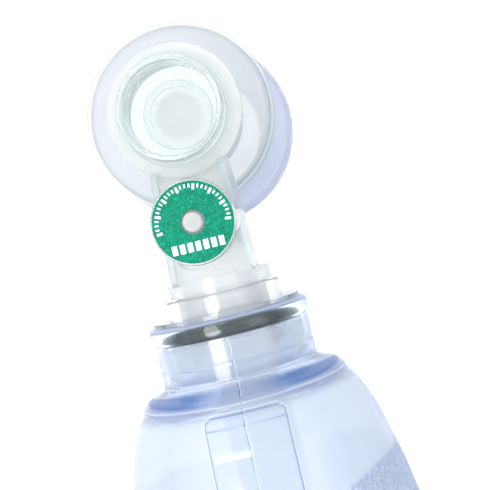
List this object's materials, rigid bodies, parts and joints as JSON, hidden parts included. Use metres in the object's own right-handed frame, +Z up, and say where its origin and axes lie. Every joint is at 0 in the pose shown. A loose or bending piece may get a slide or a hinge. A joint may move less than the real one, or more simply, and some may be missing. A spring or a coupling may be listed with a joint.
{
  "type": "bag valve mask",
  "caption": "Child-size manual resuscitator: squeeze bag, swivelling clear patient valve with pressure relief, and an air-cushion face mask.",
  "frame": {"origin": "centre of the patient port's mouth, inside the mask", "axes": "+Z up the patient valve's axis to the exhalation port, +X along the bag to its intake end"},
  "size_m": [0.3155, 0.092, 0.0944],
  "materials": {
    "clear_polycarbonate": "clear, polished",
    "bag_pvc": "translucent lavender-blue, satin",
    "cushion_pvc": "translucent lavender-blue, glossy",
    "clear_silicone": "translucent, satin",
    "dark_seal": "satin",
    "green_label": "mottled metallic film",
    "spring_steel": "bright",
    "white_plastic": "satin"
  },
  "bodies": {
    "bag": {"squeeze_bag": "bag_pvc", "bag_coupling": "clear_polycarbonate", "neck_seal": "dark_seal", "tail_seal": "dark_seal", "tail_coupling": "clear_polycarbonate"},
    "valve": {"valve_body": "clear_polycarbonate", "inlet_chamber": "clear_polycarbonate", "flap_stop": "clear_polycarbonate", "exhalation_cap": "clear_polycarbonate", "relief_cap": "clear_polycarbonate", "relief_label": "green_label", "relief_spring": "spring_steel", "swivel_seal": "clear_silicone", "swivel_clip": "white_plastic"},
    "duckbill": {"duckbill_valve": "clear_silicone"},
    "exhalation_ring": {"exhalation_flap": "clear_silicone"},
    "relief": {"relief_poppet": "clear_polycarbonate", "relief_seal": "clear_silicone"},
    "connector": {"patient_connector": "clear_polycarbonate"},
    "mask": {"mask_dome": "clear_polycarbonate", "mask_cushion": "cushion_pvc", "inflation_tube": "cushion_pvc"},
    "plug": {"inflation_plug": "white_plastic"},
    "intake": {"intake_flap": "clear_silicone"},
    "reservoir_end": {"reservoir_head": "clear_polycarbonate", "reservoir_seal": "clear_silicone", "reservoir_clip": "white_plastic", "oxygen_nipple": "clear_polycarbonate"},
    "air_inlet": {"air_inlet_flap": "clear_silicone"},
    "overflow": {"overflow_flap": "clear_silicone"}
  },
  "joints": [
    {"name": "valve_swivel", "type": "hinge", "parent": "bag", "child": "valve", "pos_m": [0.06, 0, 0.031], "axis": [1, 0, 0], "continuous": true},
    {"name": "patient_swivel", "type": "hinge", "parent": "valve", "child": "connector", "pos_m": [0, 0, 0.014], "axis": [0, 0, 1], "continuous": true},
    {"name": "mask_pull", "type": "slide", "parent": "connector", "child": "mask", "axis": [0, 0, -1], "range_m": [0, 0.02]},
    {"name": "plug_pull", "type": "slide", "parent": "mask", "child": "plug", "axis": [0.9781, -0.2079, 0], "range_m": [0, 0.01]},
    {"name": "relief_lift", "type": "slide", "parent": "valve", "child": "relief", "axis": [0, 0, 1], "range_m": [0, 0.0022], "stiffness_N_per_m": 75, "springref_m": -0.0041, "deforming": ["relief_spring"]},
    {"name": "exhalation_flap_lift", "type": "slide", "parent": "valve", "child": "exhalation_ring", "axis": [0, 0, 1], "range_m": [0, 0.0012], "stiffness_N_per_m": 2},
    {"name": "duckbill_lift", "type": "slide", "parent": "valve", "child": "duckbill", "axis": [0, 0, 1], "range_m": [0, 0.0011], "stiffness_N_per_m": 2},
    {"name": "intake_flap_lift", "type": "slide", "parent": "bag", "child": "intake", "axis": [-1, 0, 0], "range_m": [0, 0.002], "stiffness_N_per_m": 5},
    {"name": "reservoir_swivel", "type": "hinge", "parent": "bag", "child": "reservoir_end", "pos_m": [0.24, 0, 0.031], "axis": [1, 0, 0], "continuous": true},
    {"name": "air_inlet_lift", "type": "slide", "parent": "reservoir_end", "child": "air_inlet", "axis": [-1, 0, 0], "range_m": [0, 0.0012], "stiffness_N_per_m": 5},
    {"name": "overflow_lift", "type": "slide", "parent": "reservoir_end", "child": "overflow", "axis": [1, 0, 0], "range_m": [0, 0.0012], "stiffness_N_per_m": 5}
  ]
}
